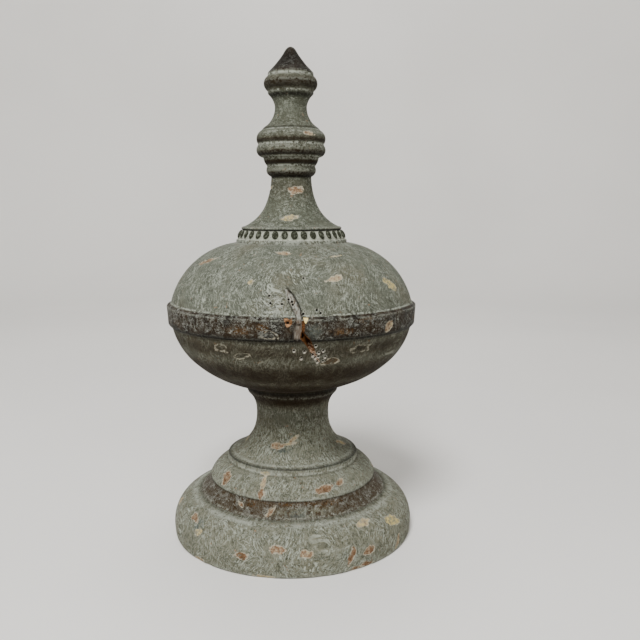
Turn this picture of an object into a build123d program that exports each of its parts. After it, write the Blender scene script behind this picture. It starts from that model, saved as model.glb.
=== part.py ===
from build123d import *
import math
import os

os.makedirs("parts", exist_ok=True)

# A turned wooden table finial. The axis is Z, the flat underside is at Z = 0,
# and the worn front, with the knot and the split, faces -Y. Sizes are in mm.

# ---- foot -----------------------------------------------------------------
FOOT_EDGE = 1.6            # rounding where the foot meets the table
FOOT_R = 102.9             # contact circle
FOOT_WIDE_R = 103.5        # widest radius of the foot moulding
FOOT_WIDE_Z = 10.0
FOOT_ROUND = 26.0          # radius of the big quarter round above it
BAND_LOW_R = 81.3          # dark hollow band, lower and upper edges
BAND_TOP_R = 71.0
BAND_TOP_Z = 48.4
BAND_HOLLOW = 1.6
OVOLO_R = 71.5             # quarter round over the band
OVOLO_Z = 50.0
OVOLO_RISE = 2.0
STEP_R = 56.7              # short upright step over the ovolo
STEP_LOW_Z = 63.0
STEP_TOP_Z = 67.7

# ---- stem under the belly -------------------------------------------------
FLARE_R = 54.2
FLARE_Z = 69.0
STEM_R = 31.3
STEM_LOW_Z = 100.0
STEM_TOP_Z = 106.0
FLARE_RISE = 6.4
COLLAR_R = 38.2
COLLAR_LOW_Z = 121.5
COLLAR_TOP_Z = 125.6
CUP_RISE = 1.7

# ---- belly: four tangent arcs, (centre radius, centre height, arc radius) --
BELLY_Z = 191.3
BELLY_LOW_JOIN = 46.1      # degrees below the middle where the lower arcs meet
BELLY_TOP_JOIN = 20.0
BELLY_LOW_SIDE = 54.8
BELLY_LOW_FLAT = 91.0
BELLY_TOP_SIDE = 44.4
BELLY_TOP_FLAT = 64.8
BELLY_LOW_CENTRE = 47.15
BELLY_TOP_CENTRE = 57.55

# ---- hoop round the belly ---------------------------------------------------
HOOP_R = 105.2
HOOP_LOW_Z = 184.4
HOOP_TOP_Z = 198.2
HOOP_BEVEL_Z = 180.0
HOOP_EDGE = 1.9
HOOP_SHELF_Z = 200.4

# ---- bead row ---------------------------------------------------------------
BEADS = 36
BEAD_TURN = 2.8            # degrees from the front to the nearest bead
BEAD_RING_R = 42.7
BEAD_Z = 254.9
BEAD_LEAN = 29.0           # the row leans inwards by this angle
BEAD_LONG = 4.2            # half length up the slope
BEAD_WIDE = 2.95           # half width
BEAD_DEEP = 2.4            # half thickness
LIP_R = 46.4
LIP_TOP_Z = 251.4
SEAT_LOW_R = 44.9
SEAT_TOP_R = 41.0
SEAT_TOP_Z = 259.2
CAP_R = 41.8
CAP_TOP_Z = 261.3

# ---- spire ------------------------------------------------------------------
SPIRE_LOW_R = 39.4
SPIRE_LOW_Z = 262.0
SPIRE_MID_R = 22.6
SPIRE_MID_Z = 277.6
SPIRE_TOP_R = 16.8
SPIRE_TOP_Z = 301.6
RING_LOW_Z = 302.4         # small ring at the head of the spire
RING_TOP_Z = 311.0
BELL_LOW_R = 20.2          # upturned bell
BELL_TOP_R = 23.1
BELL_TOP_Z = 317.9
ROLL_R = 28.5              # the two fat rolls
ROLL_WAIST_R = 27.0
ROLL_WAIST_Z = 328.3
ROLL_TOP_R = 24.8
ROLL_TOP_Z = 339.6
NECK_R = 13.3
NECK_Z = 359.0
NECK_LOW_Z = 341.0
CUFF_R = 18.8
CUFF_LOW_Z = 368.8
CUFF_TOP_Z = 371.0
KNOP_R = 22.1              # roll under the tip
KNOP_TOP_R = 19.0
KNOP_TOP_Z = 382.6
TIP_LOW_R = 18.6
TIP_LOW_Z = 385.6
TIP_ROUND = 4.4            # radius of the ball at the very top
TIP_R = 3.3
HEIGHT = 406.0

# ---- damage at the front, corners as (x, z) ---------------------------------
CHANNEL_LEFT = ((1.0, 176.0), (1.2, 190.0), (2.6, 200.0), (0.2, 205.2), (-2.1, 210.0),
                (-4.2, 214.8), (-5.6, 219.0))
CHANNEL_RIGHT = ((-2.4, 218.6), (1.0, 214.8), (3.6, 210.0), (5.8, 205.2), (6.9, 200.5),
                 (6.9, 190.0), (6.4, 176.0))
FLOOR_LOW = (101.4, 176.0)     # the channel's floor, (radius, height), is an arc
FLOOR_MID = (99.7, 201.0)
FLOOR_TOP = (91.4, 220.0)
SPLIT = ((6.4, 189.0), (8.4, 188.2), (12.7, 183.2), (15.5, 175.3),
         (13.7, 173.4), (11.3, 178.4), (6.5, 183.9))
SPLIT_DEPTH = 20.0
KNOT_HOLE = (-3.2, 195.4)
KNOT_HOLE_R = 1.3
KNOT_DEPTH = 6.0

outline = []
here = [(0.0, 0.0)]


def run_to(r, z, rise=0.0):
    """Extend the outline to (r, z); rise is how far the arc swells outwards."""
    (r0, z0), length = here[-1], math.dist(here[-1], (r, z))
    if abs(rise) < 1e-6:
        outline.append(Line((r0, z0), (r, z)))
    else:
        middle = ((r0 + r) / 2 + rise * (z - z0) / length,
                  (z0 + z) / 2 - rise * (r - r0) / length)
        outline.append(ThreePointArc((r0, z0), middle, (r, z)))
    here.append((r, z))


def swing_to(centre, radius, end_angle):
    """Extend the outline along a circle to the given angle, in degrees."""
    r0, z0 = here[-1]
    start = math.atan2(z0 - centre[1], r0 - centre[0])
    end = math.radians(end_angle)
    mid = (start + end) / 2
    at = [(max(centre[0] + radius * math.cos(a), 0.0), centre[1] + radius * math.sin(a))
          for a in (mid, end)]
    outline.append(ThreePointArc((r0, z0), at[0], at[1]))
    here.append(at[1])


def on_circle(centre, radius, z=None, r=None, side=1):
    """Point of a circle at height z, or at radius r above or below its middle."""
    if r is None:
        return (centre[0] + math.sqrt(radius ** 2 - (z - centre[1]) ** 2), z)
    return (r, centre[1] + side * math.sqrt(radius ** 2 - (r - centre[0]) ** 2))


def foot():
    run_to(FOOT_R - FOOT_EDGE, 0.0)
    run_to(FOOT_R, FOOT_EDGE, 0.29 * FOOT_EDGE)
    run_to(FOOT_WIDE_R, FOOT_WIDE_Z)
    centre = (FOOT_WIDE_R - FOOT_ROUND, FOOT_WIDE_Z)
    swing_to(centre, FOOT_ROUND,
             math.degrees(math.acos((BAND_LOW_R - centre[0]) / FOOT_ROUND)))
    run_to(BAND_TOP_R, BAND_TOP_Z, -BAND_HOLLOW)
    run_to(OVOLO_R, OVOLO_Z)
    run_to(STEP_R, STEP_LOW_Z, OVOLO_RISE)
    run_to(STEP_R - 0.6, STEP_TOP_Z)
    run_to(FLARE_R, FLARE_Z, 0.3)


def stem():
    run_to(STEM_R, STEM_LOW_Z, -FLARE_RISE)
    run_to(STEM_R, STEM_TOP_Z)
    run_to(COLLAR_R, COLLAR_LOW_Z, -CUP_RISE)
    run_to(COLLAR_R + 0.7, COLLAR_TOP_Z, 0.5)


def belly():
    low_side = (BELLY_LOW_CENTRE, BELLY_Z)
    reach = BELLY_LOW_SIDE - BELLY_LOW_FLAT
    join = math.radians(-BELLY_LOW_JOIN)
    low_flat = (low_side[0] + reach * math.cos(join),
                low_side[1] + reach * math.sin(join))
    run_to(*on_circle(low_flat, BELLY_LOW_FLAT, r=COLLAR_R + 1.6, side=-1))
    swing_to(low_flat, BELLY_LOW_FLAT, -BELLY_LOW_JOIN)
    under = on_circle(low_side, BELLY_LOW_SIDE, z=HOOP_BEVEL_Z)
    swing_to(low_side, BELLY_LOW_SIDE,
             math.degrees(math.atan2(under[1] - low_side[1], under[0] - low_side[0])))
    run_to(HOOP_R, HOOP_LOW_Z, 0.3)
    run_to(HOOP_R, HOOP_TOP_Z - HOOP_EDGE)
    run_to(HOOP_R - HOOP_EDGE, HOOP_TOP_Z, 0.29 * HOOP_EDGE)
    top_side = (BELLY_TOP_CENTRE, BELLY_Z)
    run_to(*on_circle(top_side, BELLY_TOP_SIDE, z=HOOP_SHELF_Z))
    swing_to(top_side, BELLY_TOP_SIDE, BELLY_TOP_JOIN)
    reach = BELLY_TOP_SIDE - BELLY_TOP_FLAT
    join = math.radians(BELLY_TOP_JOIN)
    top_flat = (top_side[0] + reach * math.cos(join),
                top_side[1] + reach * math.sin(join))
    end = on_circle(top_flat, BELLY_TOP_FLAT, r=LIP_R)
    swing_to(top_flat, BELLY_TOP_FLAT,
             math.degrees(math.atan2(end[1] - top_flat[1], end[0] - top_flat[0])))


def bead_seat():
    run_to(LIP_R, LIP_TOP_Z - 0.6)
    run_to(LIP_R - 0.8, LIP_TOP_Z, 0.2)
    run_to(SEAT_LOW_R, LIP_TOP_Z)
    run_to(SEAT_TOP_R, SEAT_TOP_Z)
    run_to(CAP_R, SEAT_TOP_Z + 0.2)
    run_to(CAP_R, CAP_TOP_Z, 0.3)
    run_to(SPIRE_LOW_R, SPIRE_LOW_Z, 0.2)


def spire():
    run_to(SPIRE_MID_R, SPIRE_MID_Z, -1.9)
    run_to(SPIRE_TOP_R, SPIRE_TOP_Z, -1.3)
    run_to(SPIRE_TOP_R, RING_LOW_Z)
    run_to(BELL_LOW_R - 0.4, RING_TOP_Z, 2.3)
    run_to(BELL_LOW_R, RING_TOP_Z + 0.2)
    run_to(BELL_TOP_R, BELL_TOP_Z, 0.6)
    run_to(ROLL_WAIST_R, ROLL_WAIST_Z, 3.6)
    run_to(ROLL_TOP_R, ROLL_TOP_Z, 2.7)


def head():
    run_to(NECK_R + 9.0, NECK_LOW_Z + 1.2)
    run_to(NECK_R, NECK_Z, -2.6)
    run_to(CUFF_R, CUFF_LOW_Z, -1.0)
    run_to(CUFF_R, CUFF_TOP_Z)
    run_to(KNOP_TOP_R, KNOP_TOP_Z, 3.2)
    run_to(TIP_LOW_R, TIP_LOW_Z)
    ball = (0.0, HEIGHT - TIP_ROUND)
    run_to(*on_circle(ball, TIP_ROUND, r=TIP_R), -0.8)
    swing_to(ball, TIP_ROUND, 90.0)


def bead():
    """One oval bead on the ring, long up the slope, in the +X half plane."""
    body = scale(Sphere(1.0), by=(BEAD_DEEP, BEAD_WIDE, BEAD_LONG))
    return Pos(BEAD_RING_R, 0, BEAD_Z) * Rot(0, -BEAD_LEAN, 0) * body


def prism(corners, near, far):
    """Solid with the given (x, z) corners between two upright planes."""
    face = Plane.XZ * make_face(Polyline(*corners, close=True))
    return Pos(0, near, 0) * extrude(face, amount=far - near, dir=(0, 1, 0))


for member in (foot, stem, belly, bead_seat, spire, head):
    member()
run_to(0.0, 0.0)

section = make_face(Wire(outline))
finial = revolve(Plane.XZ * section, Axis.Z)

for number in range(BEADS):
    turn = -90.0 + BEAD_TURN + 360.0 / BEADS * number
    finial += Rot(0, 0, turn) * bead()

front = -(HOOP_R + 5.0)
floor = make_face([ThreePointArc(FLOOR_LOW, FLOOR_MID, FLOOR_TOP),
                   Polyline(FLOOR_TOP, (0.0, FLOOR_TOP[1]), (0.0, FLOOR_LOW[1]), FLOOR_LOW)])
channel = prism(CHANNEL_LEFT + CHANNEL_RIGHT, front, -HOOP_R + SPLIT_DEPTH)
finial -= channel - revolve(Plane.XZ * floor, Axis.Z)
finial -= prism(SPLIT, front, -HOOP_R + SPLIT_DEPTH)
finial -= Pos(KNOT_HOLE[0], -HOOP_R, KNOT_HOLE[1]) * Rot(90, 0, 0) * Cylinder(
    KNOT_HOLE_R, 2 * KNOT_DEPTH)

finial = finial.solids().sort_by(SortBy.VOLUME)[-1]
finial.label = "finial"
export_step(finial, "parts/finial.step")
box = finial.bounding_box()
print("size", [round(v, 2) for v in box.size], "volume cm3", round(finial.volume / 1000, 1))
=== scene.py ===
from math import radians
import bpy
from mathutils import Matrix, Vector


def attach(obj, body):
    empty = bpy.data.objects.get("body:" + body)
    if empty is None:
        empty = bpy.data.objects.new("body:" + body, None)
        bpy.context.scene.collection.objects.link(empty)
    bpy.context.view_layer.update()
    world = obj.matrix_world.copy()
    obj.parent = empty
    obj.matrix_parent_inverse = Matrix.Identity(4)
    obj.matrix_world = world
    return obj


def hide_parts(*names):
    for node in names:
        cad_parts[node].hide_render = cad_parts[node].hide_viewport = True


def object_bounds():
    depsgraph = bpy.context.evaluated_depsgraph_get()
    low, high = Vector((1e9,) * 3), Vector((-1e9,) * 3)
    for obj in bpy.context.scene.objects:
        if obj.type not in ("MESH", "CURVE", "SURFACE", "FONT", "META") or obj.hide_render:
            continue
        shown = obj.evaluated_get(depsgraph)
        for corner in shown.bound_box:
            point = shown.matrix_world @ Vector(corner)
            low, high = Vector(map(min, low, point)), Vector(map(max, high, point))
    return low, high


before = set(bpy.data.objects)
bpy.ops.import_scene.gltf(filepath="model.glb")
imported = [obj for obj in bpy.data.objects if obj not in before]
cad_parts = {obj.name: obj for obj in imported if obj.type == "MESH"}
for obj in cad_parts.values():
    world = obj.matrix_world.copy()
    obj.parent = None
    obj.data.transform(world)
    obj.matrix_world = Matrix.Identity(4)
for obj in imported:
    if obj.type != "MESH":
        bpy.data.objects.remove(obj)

from types import SimpleNamespace

import bpy
import numpy as np

CAD_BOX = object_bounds()
MM = 0.001
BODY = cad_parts["finial"]

# Lengths below are in millimetres and angles in degrees. Turns run from the
# worn front (-Y) towards +X. Heights are Z.

# ---- zones that are meshed on their own: name, lowest and highest height, girth
# of the brush marks' wrap, columns round, distance between rows
ZONES = (
    ("foot", 0.0, 67.7, 88.0, 560, 1.0),
    ("stem", 67.7, 128.2, 40.0, 320, 0.9),
    ("belly_under", 128.2, 180.0, 84.0, 560, 1.0),
    ("belly_top", 180.0, 248.6, 84.0, 500, 1.0),
    ("collar", 248.6, 262.8, 44.0, 576, 0.62),
    ("spire", 262.8, 406.0, 24.0, 300, 0.7),
)
TOP = ZONES[-1][2]
WORN_TURN = (-13.0, 19.0)      # the finely meshed front of the belly
WORN_HEIGHT = (162.0, 221.0)
WORN_ROWS, WORN_COLUMNS, CRISP_ROWS = 1.7, 3.0, 1.8      # how many times closer the mesh is there
UNDERSIDE_ROWS, UNDERSIDE_R = 12, 98.0
CRISP_HEIGHTS = ((33.0, 38.4), (46.8, 51.0), (63.2, 67.6), (67.8, 71.2), (121.0, 128.0),
                 (180.2, 185.0), (196.4, 202.4), (249.0, 262.4))

# ---- collar of beads
BEADS = 36
BEAD_TURN = 2.8
SEAT = (251.4, 259.2)
BEAD_LONG, BEAD_WIDE, BEAD_DEEP, BEAD_SUNK = 4.25, 3.05, 2.45, 0.4

# ---- where the finish changes, and where shade and light are painted on: (lowest, highest height)
DARK_ZONES = ((36.6, 48.0), (182.0, 199.6), (384.6, 440.0))
PALE_LINES_AND_HIGHLIGHTS = (       # height, half width, strength: pale paint in the fillets and grooves, and painted highlights on the tops of the rolls and the knop (307.4, 325.8, 337.0, 378.0)
    (1.4, 1.1, 0.5), (34.6, 0.7, 0.8), (37.4, 0.6, 0.5), (49.2, 0.7, 0.9), (64.8, 1.1, 0.9),
    (69.9, 0.5, 0.6), (122.8, 0.9, 0.2), (200.3, 0.5, 0.9), (250.0, 1.7, 1.0), (255.2, 4.6, 1.0),
    (307.4, 1.6, 0.3), (311.2, 0.8, 0.9), (316.4, 0.8, 0.5), (318.2, 0.7, 0.7),
    (325.8, 1.6, 0.3), (328.3, 0.9, 0.9), (337.0, 1.4, 0.4), (339.8, 0.6, 0.7),
    (369.9, 1.0, 0.8), (378.0, 1.2, 0.3), (383.4, 1.1, 0.9),
)
# painted shade: dark level lines in the grooves and under the rims, where shade falls; height, half
# width, strength
PAINTED_SHADE_LINES = (
    (68.4, 0.8, 0.85), (47.8, 0.5, 0.7), (126.0, 2.0, 0.9), (182.0, 1.8, 1.0), (259.2, 0.8, 0.95),
    (302.5, 1.3, 0.95), (341.0, 0.6, 0.8), (366.8, 2.2, 0.85), (36.2, 0.6, 0.5),
    (312.6, 0.8, 0.8), (319.6, 0.8, 0.85), (329.8, 0.7, 0.6), (373.0, 1.2, 0.6),
)
GLAZE_AND_PAINTED_SHADE = (     # height, half width, strength of the brown: painted shade under the belly (134, 151, 172), on the stem in the belly's shadow (120, 103) and on the lower halves of the rolls and rings (304.6, 314, 321, 331.4); a real brown glaze on the knop (376), the spire (325, 294) and the tip (395)
    (134.0, 17.0, 1.0), (151.0, 19.0, 0.94), (172.0, 14.0, 0.8), (120.0, 12.0, 1.0),
    (103.0, 10.0, 0.4), (376.0, 6.0, 1.0), (321.0, 3.0, 1.0), (314.0, 2.6, 1.0), (304.6, 2.6, 1.0),
    (331.4, 2.8, 0.9), (325.0, 30.0, 0.4), (395.0, 12.0, 1.0), (294.0, 10.0, 0.45),
)
FOOT_PAINTED_LIGHT_BELOW = (88.0, 104.0)   # painted light: the foot is painted a little lighter than the rest, for the light falling on it
SPIRE_FROM = (258.0, 264.0)  # and the spire a little darker

# ---- flakes: turn, height, half width, half height, lean, tone
# tone 0 outline only, 1 brown, 2 rust or pink tan, 3 cream, 4 yellow cream
FLAKE_DEPTH = 0.42
FLAKES = (
    (-59, 235.5, 9.0, 2.6, 22, 2.2), (-5.5, 243, 5.6, 2.6, -6, 2.5),
    (28, 240.5, 6.5, 0.9, 8, 3.0), (-19.5, 223, 2.4, 1.9, 30, 3.3),
    (21, 225, 7.2, 2.6, 12, 2.6), (55, 218.5, 9.0, 3.4, -38, 3.9),
    (-32, 174, 5.6, 3.4, 8, 0.3), (-23, 169, 7.0, 2.2, 10, 0.2),
    (31, 172.5, 8.6, 2.8, 4, 0.2), (17.5, 164.5, 7.0, 2.8, 4, 0.7),
    (-9, 186.5, 5.6, 2.6, 0, 0.3), (45, 188, 5.0, 3.4, 30, 2.4),
    (11.5, 291.5, 5.4, 3.4, 8, 2.1), (-4, 269, 6.2, 2.8, 12, 3.2),
    (31, 335.5, 5.4, 2.0, -8, 2.3), (-20, 81.5, 6.4, 2.6, 4, 2.3), (-9, 83.2, 8.0, 1.2, 10, 2.8),
    (1, 86.6, 5.2, 1.5, 42, 2.7), (-56, 56.5, 4.4, 6.0, 20, 2.0),
    (-22.5, 59.5, 2.6, 6.0, 6, 2.7), (-21.5, 52, 3.2, 4.0, -14, 1.9), (-24, 64.5, 4.0, 1.8, 0, 3.4),
    (21, 55.5, 7.6, 3.4, 10, 1.9), (35, 57.5, 4.6, 2.2, 16, 2.2),
    (-56, 28.5, 6.6, 3.0, -14, 2.2), (-49, 22.5, 5.0, 3.0, 24, 3.2),
    (-23, 15.5, 6.0, 3.0, 6, 1.6), (-7, 22, 6.0, 2.6, -4, 2.1),
    (5.5, 19.5, 4.4, 3.4, -14, 2.3), (26, 13, 3.4, 7.2, -24, 1.8),
    (35.5, 13, 6.0, 3.2, 20, 1.9), (36, 31, 8.0, 3.0, 10, 2.9),
    (56, 24.5, 8.6, 4.4, -22, 3.9), (55.5, 7.5, 2.2, 6.4, -20, 2.6),
    (34, 2.6, 6.4, 2.4, -8, 1.8), (28, 1.4, 5.0, 1.8, 0, 2.0),
    (-84, 26, 5.0, 3.4, 12, 2.6), (-47, 1.4, 6.0, 1.4, 0, 2.5), (-13, 1.0, 8.0, 1.3, 0, 2.9),
    (-35, 42.5, 3.4, 1.6, -30, 2.2), (-14, 41, 2.2, 5.0, -40, 2.2),
)
BACK_FLAKES = 34             # more of them, placed by chance, round the back
BACK_HEIGHTS = ((4, 33), (50, 64), (72, 92), (150, 176), (203, 244), (262, 296))
SPOTS = (            # blue-grey smudges: turn, height, half width, half height, strength
    (-51, 26, 6.0, 4.0, 0.9), (-13, 79, 9.0, 2.6, 0.7), (2, 40, 9.0, 3.0, 0.8),
    (9, 190, 7.0, 6.0, 0.7), (26, 16, 7.0, 5.0, 0.4), (34, 194, 12.0, 3.0, 0.5),
)
RUST_PATCHES = (     # the same five numbers
    (-22, 189, 10.0, 3.0, 0.9), (-12, 191.5, 5.0, 3.2, 0.9), (20, 188, 11.0, 3.0, 0.9),
    (32, 195, 10.0, 2.0, 0.8), (-2, 46.6, 22.0, 1.8, 0.8), (-27, 44, 7.0, 3.0, 0.6),
    (24, 45, 14.0, 2.6, 0.7), (-60, 188, 8.0, 3.0, 0.6), (72, 189, 9.0, 3.0, 0.6),
    (120, 189, 9.0, 3.0, 0.6), (-120, 190, 11.0, 3.0, 0.6), (-165, 192, 9.0, 3.0, 0.6),
)
COVER_PATCHES = (    # where sage paint runs over the dark stain
    (6, 40.5, 26.0, 3.4, 0.9), (-150, 42, 26.0, 6.0, 0.5), (96, 40, 16.0, 3.0, 0.5),
    (9, 189, 5.0, 5.0, 0.7), (150, 189, 16.0, 5.0, 0.4),
)
CURL_PATCHES = (     # where light curls lie thick on the stain
    (-50, 192, 46.0, 7.0, 0.8), (-10, 188, 14.0, 8.0, 0.7), (38, 192, 24.0, 6.0, 0.8),
    (80, 190, 30.0, 8.0, 0.6), (-60, 42, 40.0, 7.0, 0.5), (60, 42, 20.0, 5.0, 0.5),
    (-120, 190, 60.0, 8.0, 0.7), (150, 190, 70.0, 8.0, 0.7), (0, 395, 9.0, 6.0, 0.25),
)

# ---- the worn front of the belly, corners as (x, z)
CHANNEL = ((1.0, 181.5), (1.2, 190.0), (2.6, 200.0), (0.2, 205.2), (-2.1, 210.0),
           (-4.2, 214.8), (-5.6, 219.0), (-2.4, 218.6), (1.0, 214.8), (3.6, 210.0),
           (5.8, 205.2), (6.9, 200.5), (6.9, 190.0), (6.4, 181.5))
CHANNEL_EDGE = ((-3.4, 219.4), (1.2, 214.8), (3.8, 210.0), (6.0, 205.2), (7.1, 200.5))
CHANNEL_LEFT = ((-3.0, 211.5), (0.0, 205.0), (2.2, 200.8))
CHANNEL_FLOOR = ((101.4, 176.0), (99.7, 201.0), (91.4, 220.0))
SPLIT = ((6.2, 189.4), (8.6, 188.6), (12.9, 183.4), (16.2, 175.2),
         (13.6, 172.8), (10.2, 178.0), (6.0, 184.0))
SPLIT_TAIL = ((11.4, 178.0), (15.2, 178.6), (17.2, 172.4), (20.4, 164.8), (18.8, 164.4),
              (14.6, 171.0), (12.8, 173.4))
SPLIT_FLOOR = (173.5, 180.5)     # the split runs out to nothing between these heights
SPLIT_DEPTH = 7.5
SLIVER = ((6.9, 198.0), (9.0, 197.0), (9.2, 190.0), (8.4, 187.6), (6.6, 188.6))
KNOT = ((-5.8, 198.6), (-3.6, 199.3), (-1.8, 198.2), (-0.2, 198.8), (0.2, 195.6),
        (-1.4, 193.2), (-3.6, 192.6), (-4.8, 194.6), (-5.8, 196.2))
KNOT_HOLE = (-3.2, 195.4, 1.3)
CREAM_CHIP = ((7.9, 199.2), (11.5, 199.0), (10.7, 196.8), (9.7, 195.0), (8.7, 196.6))
PALE_FRONT = ((-5.0, 208.0, 18.0, 11.0), (11.6, 170.4, 4.6, 4.4))
WORN_SHAPES = (      # field, corners, how ragged its edge is
    ("channel", CHANNEL, 0.5), ("split", SPLIT, 0.35), ("tail", SPLIT_TAIL, 0.3),
    ("sliver", SLIVER, 0.4), ("knot", KNOT, 1.3), ("cream", CREAM_CHIP, 0.4),
)
SLIVER_DEPTH, KNOT_DEPTH, PIT_DEPTH, CREAM_DEPTH, TAIL_DEPTH = 1.3, 0.7, 2.6, 0.8, 0.9
BEETLE_R, BEETLE_DEPTH, RIM_HIGHLIGHT_R = 0.85, 2.4, 0.85
BEETLE_HOLES = (     # turn, height
    (-9.9, 214.3), (-9.2, 209.2), (-4.2, 208.6), (-1.4, 212.0), (0.3, 208.5), (0.0, 210.6), (5.6, 226.2),
    (10.3, 204.1), (11.8, 201.9), (4.6, 201.6), (0.7, 174.6), (5.1, 173.7), (3.8, 168.4),
    (9.8, 178.0), (13.2, 173.9), (11.3, 172.4), (11.2, 169.1), (14.4, 168.7), (10.0, 168.1),
    (8.8, 170.4), (13.6, 165.3), (11.1, 164.9),
)
RIM_HIGHLIGHTS_BELOW = 182.0          # holes lower than this have a painted highlight on the lower rim
FAR = -9.0                   # signed distance of what is nowhere near


# ======================= numbers: noise and shapes ========================
def lattice(cell, seed):
    """Repeatable random value from 0 to 1 at each whole-number cell."""
    c = cell.astype(np.int64).astype(np.uint32)
    h = c[..., 0] * np.uint32(374761393) + c[..., 1] * np.uint32(668265263)
    h = h + c[..., 2] * np.uint32(2246822519) + np.uint32(seed * 3266489917 & 0xFFFFFFFF)
    h = (h ^ (h >> np.uint32(13))) * np.uint32(1274126177)
    return ((h ^ (h >> np.uint32(16))) & np.uint32(0xFFFFFF)) / float(0xFFFFFF)


def noise(points, wavelength, seed):
    """Smooth noise from -1 to 1 at points in millimetres."""
    p = points / wavelength
    base = np.floor(p)
    t = p - base
    t = t * t * (3 - 2 * t)
    total = 0.0
    for corner in np.ndindex(2, 2, 2):
        side = np.array(corner)
        weight = np.prod(np.where(side, t, 1 - t), axis=-1)
        total = total + weight * lattice(base + side, seed)
    return total * 2 - 1


def ramp(value, low, high):
    """0 below low and 1 above high, smooth between."""
    t = np.clip((value - low) / (high - low), 0, 1)
    return t * t * (3 - 2 * t)


def bump_at(value, centre, half):
    """1 at centre, falling smoothly to 0 at about twice half away."""
    return np.exp(-((value - centre) / half) ** 2)


def inside_polygon(x, z, corners):
    """Signed distance to a polygon, positive inside."""
    nearest = np.full(x.shape, 1e9)
    crossings = np.zeros(x.shape, int)
    for (x0, z0), (x1, z1) in zip(corners, corners[1:] + corners[:1]):
        dx, dz = x1 - x0, z1 - z0
        t = np.clip(((x - x0) * dx + (z - z0) * dz) / (dx * dx + dz * dz), 0, 1)
        nearest = np.minimum(nearest, np.hypot(x - x0 - t * dx, z - z0 - t * dz))
        spans = (z0 > z) != (z1 > z)
        if abs(dz) > 1e-9:
            crossings += spans & (x < x0 + (z - z0) * dx / dz)
    return np.where(crossings % 2 == 1, nearest, -nearest)


def off_path(x, z, path):
    """Distance to an open path."""
    nearest = np.full(x.shape, 1e9)
    for (x0, z0), (x1, z1) in zip(path[:-1], path[1:]):
        dx, dz = x1 - x0, z1 - z0
        t = np.clip(((x - x0) * dx + (z - z0) * dz) / (dx * dx + dz * dz), 0, 1)
        nearest = np.minimum(nearest, np.hypot(x - x0 - t * dx, z - z0 - t * dz))
    return nearest


def inside_oval(u, v, half_u, half_v, lean):
    """Roughly signed distance to a leaning oval, positive inside."""
    c, s = np.cos(radians(lean)), np.sin(radians(lean))
    q = np.hypot((u * c + v * s) / half_u, (v * c - u * s) / half_v)
    return (1 - q) * min(half_u, half_v)


# ======================= the turned outline ===============================
def turned_outline():
    """(radius, height) points along the CAD solid's seam, from the table up."""
    flat = np.zeros(len(BODY.data.vertices) * 3)
    BODY.data.vertices.foreach_get("co", flat)
    points = flat.reshape(-1, 3) / MM
    seam = points[(np.abs(points[:, 1]) < 2e-3) & (points[:, 0] > -1e-3)]
    # the bead row stands on a plain seat here, so its own corners are dropped
    hidden = (seam[:, 2] > SEAT[0] + 0.003) & (seam[:, 2] < SEAT[1] - 0.003)
    seam = np.unique(np.round(seam[~hidden][:, ::2], 3), axis=0)
    seam = seam[np.lexsort((-seam[:, 0], np.round(seam[:, 1], 2)))]
    return np.vstack(((0.0, 0.0), seam))


def smooth_curve(points, step):
    """Curve through the points, smooth except at corners, in even steps."""
    leg = np.diff(points, axis=0)
    size = np.hypot(*leg.T)
    way = leg / size[:, None]
    turn = np.degrees(np.arccos(np.clip((way[1:] * way[:-1]).sum(1), -1, 1)))
    heading = np.vstack((way[:1], way[:-1] * size[1:, None] + way[1:] * size[:-1, None], way[-1:]))
    heading /= np.hypot(*heading.T)[:, None]
    corner = np.concatenate(((True,), turn > 19, (True,)))
    out = []
    for k, length in enumerate(size):
        a = way[k] if corner[k] else heading[k]
        b = way[k] if corner[k + 1] else heading[k + 1]
        t = np.linspace(0, 1, max(2, int(length / step) + 1), endpoint=False)[:, None]
        out.append((2 * t**3 - 3 * t**2 + 1) * points[k] + (t**3 - 2 * t**2 + t) * a * length
                   + (3 * t**2 - 2 * t**3) * points[k + 1] + (t**3 - t**2) * b * length)
    fine = np.vstack(out + [points[-1:]])
    along = np.concatenate(((0,), np.cumsum(np.hypot(*np.diff(fine, axis=0).T))))
    even = np.arange(0, along[-1], step)
    return np.stack([np.interp(even, along, fine[:, k]) for k in (0, 1)], 1)


def soften(values, step, width):
    """Gaussian blur along the outline."""
    reach = int(3 * width / step) + 1
    kernel = np.exp(-0.5 * (np.arange(-reach, reach + 1) * step / width) ** 2)
    padded = np.pad(values, ((reach, reach), (0, 0)), mode="reflect", reflect_type="odd")
    kernel /= kernel.sum()
    return np.stack([np.convolve(padded[:, k], kernel, "valid") for k in (0, 1)], 1)


STEP = 0.1                   # between points of the outline
EDGE_WEAR, CREST_WIDTH = 0.32, 1.6
outline = soften(smooth_curve(turned_outline(), STEP), STEP, EDGE_WEAR)
outline[:, 0] = np.maximum(outline[:, 0], 0)
outline[:, 1] = np.clip(outline[:, 1], 0, CAD_BOX[1].z / MM)
ALONG = np.arange(len(outline)) * STEP
slope = np.gradient(outline, STEP, axis=0)
slope /= np.hypot(*slope.T)[:, None]
OUTWARD = np.stack((slope[:, 1], -slope[:, 0]), 1)
CREST = ((outline - soften(outline, STEP, CREST_WIDTH)) * OUTWARD).sum(1)


def at(along, values):
    """Value of an outline quantity at a distance along the outline."""
    return np.interp(along, ALONG, values)


def along_at_height(z):
    """Distance along the outline at which it reaches height z."""
    start = np.searchsorted(outline[:, 1], 0.05)
    return ALONG[start:][np.searchsorted(outline[start:, 1], z)] if z > 0 else 0.0


def spread(low, high, step, zones):
    """Places from low to high about step apart, closer by a factor in each zone."""
    x = np.linspace(low, high, 8000)
    density = np.full(x.shape, 1.0 / step)
    for start, end, factor in zones:
        edge = 0.06 * (end - start)
        density *= 1 + (factor - 1) * ramp(x, start - edge, start) * (1 - ramp(x, end, end + edge))
    total = np.concatenate(((0,), np.cumsum((density[1:] + density[:-1]) / 2 * np.diff(x))))
    count = int(round(total[-1]))
    return np.interp(np.linspace(0, total[-1], count + 1), total, x)


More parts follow.
